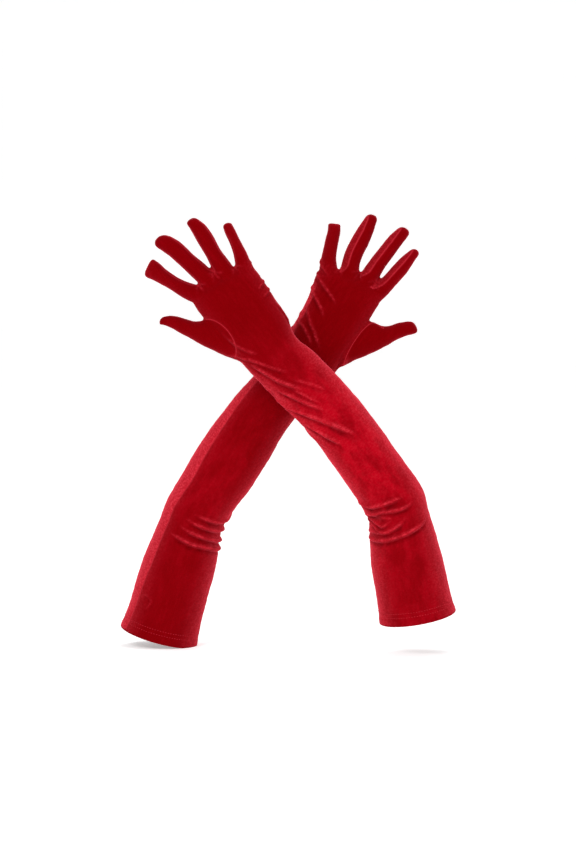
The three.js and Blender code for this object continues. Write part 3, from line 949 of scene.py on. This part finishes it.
def velvet(name):
    """Short crushed pile: dark where it faces outwards, with lighter flecks and streaks along the arm. Light
    and shade are painted into its colour: a lit tone up the arm, painted sheen, painted glints in the flecks,
    painted highlights along seams and fold crests, and painted shade in fold valleys.
    """
    material = new_material(name)
    tree = material.node_tree
    cloth = attribute(tree, "cloth", "Vector")
    blotches = noise(tree, cloth, (1, 1, 0.5), 4, 0.06)
    streaks = noise(tree, cloth, (1, 1, 0.14), 3, 0.3, 0.7)
    flecks = noise(tree, cloth, (0.55, 0.55, 1), 4, 0.6, 0.75)
    # The painted lit tone up the arm, mottled at random by the cloth's own blotches and streaks.
    lit_and_mottled_tone = product(tree, attribute(tree, "lit_and_mottled_tone"), ramp(tree, blotches, 0.35, 0.65, 0.45, 1.45))
    lit_and_mottled_tone = summed(tree, lit_and_mottled_tone, ramp(tree, streaks, 0.45, 0.75), 0.12)
    # Painted sheen on the panel, the strips and the sides of the arm, with the painted highlights of fold
    # crests and crotches.
    painted_sheen = attribute(tree, "painted_sheen")
    # Flecks, random in place, painted as lighter glints where the painted sheen and lit tone are high.
    fleck_glints = product(tree, ramp(tree, flecks, 0.44, 0.6), summed(tree, painted_sheen, lit_and_mottled_tone, 0.15))
    colour = blend_colour(tree, lit_and_mottled_tone, DEEP, LIT_RED)
    # Painted sheen, painted glints, a painted highlight along the seams, then painted shade in the fold
    # valleys, each laid over the colour.
    layers = (
        (painted_sheen, 0.55, PAINTED_SHEEN_COLOUR),
        (fleck_glints, 0.85, FLECK_GLINT),
        (attribute(tree, "seam"), 0.5, SEAM_HIGHLIGHT),
        (attribute(tree, "dark"), 0.6, SHADED),
    )
    for where, share, layer in layers:
        colour = blend_colour(tree, product(tree, where, share), colour, layer)
    pile = bump(tree, flecks, 0.0005, 0.8)
    return set_surface(material, {
        "Base Color": colour,
        "Normal": bump(tree, streaks, 0.0012, 0.3, Normal=pile),
        "Roughness": 0.9,
        "Specular IOR Level": 0.0,
        "Sheen Weight": 0.95,
        "Sheen Roughness": 0.38,
        "Sheen Tint": (1, 0.11, 0.16),
    })


def thread_material():
    material = new_material("thread")
    tree = material.node_tree
    place = new_node(tree, "TexCoord", {}).outputs["Object"]
    twist = new_node(tree, "TexNoise", {"Vector": place, "Scale": 900}).outputs["Fac"]
    return set_surface(material, {
        "Base Color": blend_colour(tree, twist, *THREAD_COLOURS),
        "Normal": bump(tree, twist, 0.0002),
        "Roughness": 0.7,
        "Specular IOR Level": 0.1,
    })


def knit_material():
    """The velvet's plain knitted back."""
    material = new_material("knit_back")
    tree = material.node_tree
    wales = noise(tree, attribute(tree, "cloth", "Vector"), (1, 1, 0.3), 2, 1.2)
    return set_surface(material, {
        "Base Color": blend_colour(tree, wales, *KNIT_COLOURS),
        "Normal": bump(tree, wales, 0.0003),
        "Roughness": 0.9,
    })


def backdrop_material():
    """A pale matt surface that glows a little, so that it stays white."""
    return set_surface(new_material("pale_floor"), {
        "Base Color": (0.93, 0.93, 0.93),
        "Roughness": 0.9,
        "Emission Color": (1, 1, 1),
        "Emission Strength": 0.35,
    })


MATERIALS = {
    "velvet": velvet("velvet"),
    "strip": velvet("velvet_strip"),
    "knit": knit_material(),
    "thread": thread_material(),
}


# ---- pieces ----

def make_object(name, points, faces, materials, attributes=(), normals=None, face_materials=None):
    mesh = bpy.data.meshes.new(name)
    mesh.from_pydata(np.asarray(points) / 1000, [], [tuple(map(int, face)) for face in faces])
    for material in materials:
        mesh.materials.append(MATERIALS[material])
    if face_materials is not None:
        mesh.polygons.foreach_set("material_index", np.asarray(face_materials, np.int32))
    for label, values in dict(attributes).items():
        values = np.asarray(values, np.float32)
        kind, field = ("FLOAT_VECTOR", "vector") if values.ndim == 2 else ("FLOAT", "value")
        mesh.attributes.new(label, kind, "POINT").data.foreach_set(field, values.ravel())
    mesh.polygons.foreach_set("use_smooth", np.ones(len(mesh.polygons), bool))
    if normals is not None:
        mesh.normals_split_custom_set_from_vertices(np.asarray(normals))
    made = bpy.data.objects.new(name, mesh)
    bpy.context.scene.collection.objects.link(made)
    return made


def boundary_edges(triangles):
    """Edges that only one triangle uses, in that triangle's direction."""
    sides = sides_of(triangles)
    _, index, count = np.unique(np.sort(sides, axis=1), axis=0, return_index=True, return_counts=True)
    return sides[index[count == 1]]


def side_by_side(triangles):
    """The two triangles at every edge that two of them share."""
    edges = np.sort(sides_of(triangles), axis=1)
    owner = np.tile(np.arange(len(triangles)), 3)
    order = np.lexsort(edges.T)
    shared = (edges[order[1:]] == edges[order[:-1]]).all(axis=1)
    return owner[order[:-1]][shared], owner[order[1:]][shared]


def groups_of(count, first, second):
    """A number for each of count things, the same for all that the pairs join."""
    group = np.arange(count)
    while (group[first] != group[second]).any():
        low = np.minimum(group[first], group[second])
        np.minimum.at(group, group[first], low)
        np.minimum.at(group, group[second], low)
        group = group[group]
    return group


def largest_part(triangles):
    """The most triangles that hang together, without pockets and loose bits."""
    group = groups_of(len(triangles), *side_by_side(triangles))
    parts, sizes = np.unique(group, return_counts=True)
    return triangles[group == parts[sizes.argmax()]]


def strays_joined(names, triangles):
    """Gives a stray bit of one piece to the piece round it, so that each piece is in one part."""
    names = names.copy()
    first, second = side_by_side(triangles)
    same = names[first] == names[second]
    group = groups_of(len(triangles), first[same], second[same])
    first, second = first[~same], second[~same]
    for name in np.unique(names):
        parts, sizes = np.unique(group[names == name], return_counts=True)
        for stray in parts[sizes < sizes.max()]:
            beside = np.concatenate([second[group[first] == stray], first[group[second] == stray]])
            neighbours, shares = np.unique(names[beside], return_counts=True)
            names[group == stray] = neighbours[shares.argmax()]
    return names


class Skin:
    """A glove's finished skin, with what its pieces and shaders need at each point."""

    def __init__(self, label, rows, triangles, places):
        self.label, self.places = label, places
        self.points, self.triangles = rows[:, :3], triangles
        # painted highlights of fold crests and crotches, and painted shade in the fold valleys
        self.light_pile, self.painted_fold_shade = rows[:, 3], rows[:, 4]
        self.normals = normals_of(self.points, triangles)
        self.fields = Fields(label, places, self.points)
        self.names = self.piece_names()
        self.side = seam_distance(places, label, self.points)
        self.side_seam_reach = side_seam_reach(places, self.points)
        self.on_finger = (self.fields.finger >= 0) & (self.fields.height > -7)
        self.strip = self.fields.strips.max(axis=0)
        self.shading = {
            "cloth": self.cloth_places(),
            "lit_and_mottled_tone": self.lit_tones(),
            "dark": self.painted_fold_shade,
            "seam": self.seams(),
            "painted_sheen": self.painted_sheens(),
        }

    def piece_names(self):
        """The piece that each triangle belongs to."""
        fields = self.fields
        names = np.where(self.centre_values(fields.forearm) > 0, "hand", "sleeve").astype("U24")
        names[self.centre_values(fields.thumb) > 0] = "thumb"
        on_stall = self.centre_values(fields.height) > STALL_START
        finger = np.array(FINGERS)[np.median(fields.finger[self.triangles], axis=1).astype(int)]
        names[on_stall] = finger[on_stall]
        for row, side in enumerate(STRIP_SIDES):
            on_strip = on_stall & (self.centre_values(fields.strips[row]) > 0)
            names[on_strip] = np.char.add(finger, f"_{side}")[on_strip]
        return strays_joined(names, self.triangles)

    def cloth_places(self):
        """The pile's own place on the cloth, which runs on across the elbow."""
        axes = self.places.axes
        low, high = axes["upper"].local(self.points), axes["forearm"].local(self.points)
        share = step_up(high[:, 2], -30, 30)[:, None]
        return low * (1 - share) + high * share

    def lit_tones(self):
        """Painted light and shade up the arm: the pile is painted darkest over the palm and fingers and
        lighter where the arm is lit.
        """
        height = self.places.axes["forearm"].local(self.points)[:, 2]
        heights, lit_tones = np.array(LIT_TONES[self.label]).T
        return np.interp(height, heights, lit_tones)

    def seams(self):
        """How strongly a painted highlight, a lighter line, shows along a seam."""
        fields = self.fields
        side_seam = 0.7 * self.side_seam_reach * bell(self.side, 0, 0.9)
        thumb_seam = 0.4 * bell(fields.thumb, 0, 0.8)
        tips = np.array([FINGER_SHAPES[self.label][finger]["tip"][0] for finger in FINGERS])[fields.finger]
        beside_strip = STRIP_SEAM_HIGHLIGHT[self.label] * bell(self.strip, 0, 0.6)
        beside_strip = np.where(self.on_finger & (fields.height < tips - 1.5), beside_strip, 0)
        return np.clip(np.maximum.reduce([side_seam, thumb_seam, beside_strip]), 0, 1)

    def painted_sheens(self):
        """How much painted sheen and painted highlight each point takes: on the panel beyond the side seam,
        on the strips, where the arm turns to the side, and on fold crests and at the crotches.
        """
        panel = band(-self.side, -0.4, 0.8, *PANEL_EDGE)
        panel *= PANEL_SHEEN[self.label] * self.side_seam_reach
        strips = np.where(self.on_finger, STRIP_SHEEN[self.label] * step_up(self.strip, -0.3, 0.5), 0)
        height, turn = self.places.up_the_arm(self.points)
        heights, painted_sheens = np.array(SIDE_SHEEN[self.label]).T
        sideways = step_up(90 - np.abs(np.abs(turn) - 90), *SIDEWAYS) * np.interp(height, heights, painted_sheens)
        sideways *= self.fields.thumb < 0
        return np.clip(np.maximum.reduce([panel, strips, self.light_pile, sideways]), 0, 1)

    def centre_values(self, values):
        return values[self.triangles].mean(axis=1)

    def piece(self, name, part, material):
        """A closed shell of cloth over one part of the skin, velvet outside and knit inside."""
        triangles = self.triangles[self.names == part]
        used, corners = np.unique(triangles, return_inverse=True)
        outside = corners.reshape(-1, 3)
        count = len(used)
        inside = outside[:, ::-1] + count
        rim = [(b, a, a + count, b + count) for a, b in boundary_edges(outside).tolist()]
        points = np.concatenate([self.points[used], self.points[used] - CLOTH * self.normals[used]])
        normals = np.concatenate([self.normals[used], -self.normals[used]])
        attributes = {name: np.concatenate([values[used]] * 2) for name, values in self.shading.items()}
        faces = [*outside.tolist(), *inside.tolist(), *rim]
        kinds = [0] * len(outside) + [1] * len(inside) + [0] * len(rim)
        return make_object(name, points, faces, [material, "knit"], attributes, normals, kinds)


def grow_skin(label, axes, places):
    """A glove's whole skin, smoothed most at the knuckles and in the web of the thumb."""
    parts = [closed_tube(arm_rings(label, axes))]
    for finger in (*FINGERS, "thumb"):
        thickest = HALF_DEPTH["thumb" if finger == "thumb" else "finger"]
        parts.append(closed_tube(finger_rings(FINGER_SHAPES[label][finger], axes[finger], thickest)))
    points, triangles = joined_skin(parts)
    edges = edges_of(triangles)
    points = smoothed(points, edges, np.full(len(points), 0.8), SMOOTHING["everywhere"])
    across, _, along = axes["hand"].local(points).T
    web = band(along, *WEB_AREA["along"]) * band(across, *WEB_AREA["across"])
    knuckles_and_web = np.maximum(band(along, *KNUCKLE_AREA), web)
    points = smoothed(points, edges, knuckles_and_web, SMOOTHING["knuckles_and_web"])
    normals = normals_of(points, triangles)
    # besides its lift, each point takes its painted highlight and painted shade
    lifted, pile = relief(label, places, points, normals)
    rows = np.hstack([points + lifted[:, None] * normals, pile])
    return cut_skin(label, places, rows, triangles)


def cut_skin(label, places, rows, triangles):
    """Cuts the skin at the hem, between its pieces, and along the strips' and thumb's seams."""
    rows, triangles = cut(rows, triangles, hem_height(places, rows[:, :3]), np.ones(len(rows), bool))
    triangles = largest_part(triangles[hem_height(places, rows[:, :3])[triangles].mean(axis=1) > 0])
    fields = Fields(label, places, rows[:, :3])
    rows, triangles = cut(rows, triangles, fields.forearm, fields.finger < 0)
    fields = Fields(label, places, rows[:, :3])
    rows, triangles = cut(rows, triangles, fields.thumb, fields.finger < 0)
    for index in range(len(FINGERS)):
        fields = Fields(label, places, rows[:, :3])
        rows, triangles = cut(rows, triangles, fields.height - STALL_START, fields.finger == index)
    for row in range(2):
        for index in range(len(FINGERS)):
            fields = Fields(label, places, rows[:, :3])
            here = (fields.finger == index) & (fields.height > STALL_START - 0.2)
            rows, triangles = cut(rows, triangles, fields.strips[row], here)
    return Skin(label, rows, triangles, places)


def blend_between(piece, start, end):
    """Bakes a piece's placement into its mesh. The two world points, in millimetres, are not used."""
    start, end = (tuple(float(value) / 1000 for value in point) for point in (start, end))
    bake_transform(piece)


def fixed(piece, body, node):
    """A piece that rides on one body and is drawn in place of one solid."""
    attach(piece, body)
    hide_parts(node)
    return piece


def sleeve_and_hand(label, skin, axes):
    """The sleeve, the hand and the thumb, each with its placement baked into its mesh."""
    parts = ("sleeve", "hand", "thumb")
    sleeve, hand, thumb = (skin.piece(f"{label}_{part}_cloth", part, "velvet") for part in parts)
    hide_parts(f"{label}_upper_sleeve", f"{label}_forearm_sleeve")
    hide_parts(f"{label}_hand")
    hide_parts(f"{label}_thumb")
    below, above = axes["upper"].world((0, 0, -ELBOW_BLEND)), axes["forearm"].world((0, 0, ELBOW_BLEND))
    blend_between(sleeve, below, above)
    below, above = (axes["hand"].world((0, 0, along)) for along in WRIST_BLEND)
    blend_between(hand, below, above)
    inner, outer = (axes["hand"].world((across, 0, THUMB_BLEND_ALONG)) for across in THUMB_BLEND)
    blend_between(thumb, inner, outer)
    return sleeve, hand, thumb


def stalls_and_strips(label, skin, axes):
    """For each finger, its stall and then its strips."""
    made = []
    for finger in FINGERS:
        stall = skin.piece(f"{label}_{finger}_cloth", finger, "velvet")
        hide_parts(f"{label}_{finger}_stall")
        pieces = [stall]
        for side in STRIP_SIDES:
            if f"{finger}_{side}" not in skin.names:
                continue
            strip = skin.piece(f"{label}_{finger}_strip_{side}", f"{finger}_{side}", "strip")
            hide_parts(f"{label}_{finger}_fourchette_{side}")
            pieces.append(strip)
        low, high = (axes[finger].world((0, 0, along)) for along in KNUCKLE_BLEND)
        for piece in pieces:
            blend_between(piece, low, high)
        made.append(pieces)
    return made


# ---- hems, threads and seam allowances ----

def swept(profile_rows):
    """Faces round a closed loop of closed profiles."""
    rows = np.array(profile_rows)
    count, sides, _ = rows.shape
    faces = grid_faces(count, sides)
    for column in range(sides):
        right = (column + 1) % sides
        last = (count - 1) * sides
        faces.append((last + column, last + right, right, column))
    return rows.reshape(-1, 3), faces


def hem_fold(label, places):
    """The cloth turned up inside the cuff, with the rounded fold that is the glove's edge.

    Its profile is given as heights above the edge and depths inside the tube.
    """
    bottom = places.sections["upper"][0][0]
    edge = [(1.2, 0.0), (0.3, -0.1), (-0.5, 0.3), (-0.9, 1.0), (-0.7, 1.8), (0.1, 2.5), (1.5, 2.8)]
    inner = [(6, 2.9), (12, 2.9), (HEM_TURN_UP - 0.6, 3.0), (HEM_TURN_UP, 2.5)]
    outer = [(HEM_TURN_UP - 0.5, 1.9), (12, 1.9), (6, 1.9), (2, 1.9), (1.4, 1.2)]
    rows = []
    for turn in np.arange(0, 360, 3.0):
        row = []
        for height, depth in (*edge, *inner, *outer):
            ripple = 0.3 * math.sin(math.radians(turn * 23)) * step_up(height, 12, HEM_TURN_UP)
            along = np.array(bottom + max(height, 0))
            point, _ = places.surface("upper", along, np.array(turn), depth - HEM_BULGE + ripple)
            row.append(point + min(height, 0) * places.axes["upper"].rows[2])
        rows.append(row)
    points, faces = swept(rows)
    # the cuff takes the painted lit tone of the arm's lowest station
    hem_lit_tone = LIT_TONES[label][0][1]
    shading = {"cloth": places.axes["upper"].local(points), "lit_and_mottled_tone": np.full(len(points), hem_lit_tone)}
    fold = make_object(f"{label}_hem_fold", points, faces, ["velvet"], shading)
    return fixed(fold, f"{label}_upper", f"{label}_hem_turn_up")


def round_thread(path, radius, sides=6, closed=False):
    """A thin round thread along a path, as points and faces."""
    path = np.asarray(path, float)
    if closed:
        onward = np.roll(path, -1, axis=0) - np.roll(path, 1, axis=0)
    else:
        onward = np.gradient(path, axis=0)
    onward /= np.linalg.norm(onward, axis=1)[:, None]
    across = np.cross(onward, (0, 1, 0.2))
    across /= np.linalg.norm(across, axis=1)[:, None]
    third = np.cross(onward, across)
    swell = np.full(len(path), radius)
    if not closed:
        swell[[0, -1]] = 0.35 * radius
    rings = [oval(p, a * r, b * r, sides=sides) for p, a, b, r in zip(path, across, third, swell)]
    return swept(rings) if closed else closed_tube(rings)


def stitch_row(label, places, row, height):
    """A row of separate stitches round the cuff, each with its ends sunk in the pile."""
    along = places.sections["upper"][0][0] + height
    ring, _ = places.surface("upper", np.full(360, along), np.arange(0, 360, 1.0))
    length = np.linalg.norm(np.diff(ring, axis=0, append=ring[:1]), axis=1).sum()
    count = int(length / STITCH["pitch"])
    half = 0.5 * STITCH["length"] / length * 360
    sink = np.array([0.55, 0.1, -0.1, 0.1, 0.55]) + STITCH["depth"]
    points, faces, start = [], [], 0
    for number in range(count):
        middle = 360 * number / count
        turn = np.linspace(middle - half, middle + half, len(sink))
        path, outward = places.surface("upper", np.full(len(sink), along), turn)
        stitch_points, stitch_faces = round_thread(path - outward * sink[:, None], STITCH["radius"])
        points.append(stitch_points)
        faces += [tuple(start + i for i in face) for face in stitch_faces]
        start += len(stitch_points)
    made = make_object(f"{label}_hem_threads_{row}", np.concatenate(points), faces, ["thread"])
    return fixed(made, f"{label}_upper", f"{label}_hem_stitch_{row}")


def seam_allowance(label, places, name, body, low, high):
    """The overlocked edges of the side seam, inside the tube: a narrow, slightly ruffled strip."""
    heights = np.arange(low, high, 1.5)
    wrist = places.axes["forearm"].local(places.axes["hand"].origin)[2]
    above_elbow = heights + (wrist if name == "hand" else 0)
    seam_heights, seam_turns = np.array(SIDE_SEAM[label]).T
    turns = np.interp(above_elbow, seam_heights, seam_turns)
    outer = [(-3, 1.5), (-1.5, 1.3), (0, 1.5), (1.5, 1.3), (3, 1.5)]
    inner = [(2.8, 2.4), (1, 2.7), (-1, 2.7), (-2.8, 2.4)]
    rows = []
    for height, turn in zip(heights, turns):
        _, half_width, _ = places.section(name, height)
        ripple = 0.35 * math.sin(height * 1.1)
        row = []
        for off, depth in (*outer, *inner):
            turned = turn + math.degrees((off + ripple) / half_width)
            inset = depth + abs(off) * 0.1 * ripple
            row.append(places.surface(name, np.array(height), np.array(turned), inset)[0])
        rows.append(row)
    points, faces = closed_tube(rows)
    cloth = places.axes[name].local(points)
    made = make_object(f"{label}_seam_allowance_{name}", points, faces, ["knit"], {"cloth": cloth})
    return fixed(made, f"{label}_{body}", f"{label}_side_seam_{name}")


def thumb_welt(label, skin):
    """The thumb's seam: a thin raised line of thread all the way round its opening."""
    order = longest_loop(boundary_edges(skin.triangles[skin.names == "thumb"]))
    path = skin.points[order]
    for _ in range(4):
        path = 0.5 * path + 0.25 * (np.roll(path, 1, axis=0) + np.roll(path, -1, axis=0))
    points, faces = round_thread(path + 0.05 * skin.normals[order], radius=0.3, sides=8, closed=True)
    made = make_object(f"{label}_thumb_welt", points, faces, ["thread"])
    return fixed(made, f"{label}_palm", f"{label}_thumb_seam")


def make_glove(label):
    """Makes all pieces of one glove."""
    axes = glove_axes(label)
    places = ArmPlaces(label, axes)
    skin = grow_skin(label, axes, places)
    sleeve, hand, thumb = sleeve_and_hand(label, skin, axes)
    fingers = stalls_and_strips(label, skin, axes)
    bottom = places.sections["upper"][0][0]
    hem = [hem_fold(label, places)]
    hem += [stitch_row(label, places, row, height) for row, height in STITCH_ROWS.items()]
    side_seam = [
        seam_allowance(label, places, "upper", "upper", low=bottom + 20, high=-30),
        seam_allowance(label, places, "forearm", "forearm", low=8, high=196),
        seam_allowance(label, places, "hand", "palm", low=14, high=84),
    ]
    welt = thumb_welt(label, skin)


# ---- stage, light and camera ----

def make_stage(floor_height):
    """A pale floor that curves up into a wall far behind the gloves."""
    reach, bend, top = 9.0, 1.5, 8
    profile = [(-reach, 0)]
    for angle in np.radians(np.linspace(0, 90, 13)):
        profile.append((reach - bend + bend * math.sin(angle), bend - bend * math.cos(angle)))
    profile.append((reach, top))
    points = [(x, y, z + floor_height) for y, z in profile for x in (-reach, reach)]
    faces = [(2 * i, 2 * i + 1, 2 * i + 3, 2 * i + 2) for i in range(len(profile) - 1)]
    mesh = bpy.data.meshes.new("floor")
    mesh.from_pydata(points, [], faces)
    mesh.polygons.foreach_set("use_smooth", np.ones(len(faces), bool))
    mesh.materials.append(backdrop_material())
    floor = bpy.data.objects.new("floor", mesh)
    bpy.context.scene.collection.objects.link(floor)


def soft_light(name, place, target, size, power):
    light = bpy.data.lights.new(name, "AREA")
    light.shape = "DISK"
    light.size = size
    light.energy = power
    lamp = bpy.data.objects.new(name, light)
    lamp.location = place
    lamp.rotation_euler = (Vector(target) - Vector(place)).to_track_quat("-Z", "Y").to_euler()
    bpy.context.scene.collection.objects.link(lamp)


def make_camera(target, distance, elevation, lens):
    camera = bpy.data.objects.new("camera", bpy.data.cameras.new("camera"))
    camera.data.lens = lens
    angle = math.radians(elevation)
    away = Vector((0, -math.cos(angle), math.sin(angle)))
    camera.location = Vector(target) + distance * away
    camera.rotation_euler = (-away).to_track_quat("-Z", "Y").to_euler()
    bpy.context.scene.collection.objects.link(camera)
    bpy.context.scene.camera = camera


def make_world():
    world = bpy.data.worlds.new("studio")
    world.use_nodes = True
    background = world.node_tree.nodes["Background"]
    background.inputs["Color"].default_value = (1, 1, 1, 1)
    background.inputs["Strength"].default_value = 0.55
    bpy.context.scene.world = world


CENTRE = (-0.0006, 0, 0.225)
make_camera(CENTRE, distance=7.0, elevation=5, lens=250.3)
bpy.context.scene.view_settings.view_transform = "Standard"
make_world()
make_stage(floor_height=CAD_BOX[0].z - 0.002)
soft_light("key", (-1.2, -2.2, 1.9), CENTRE, size=1.2, power=40)
soft_light("fill", (1.8, -1.8, 0.9), CENTRE, size=1.6, power=16)
soft_light("top", (0.2, 0.4, 2.4), CENTRE, size=1.4, power=18)

for glove in SIDE:
    make_glove(glove)
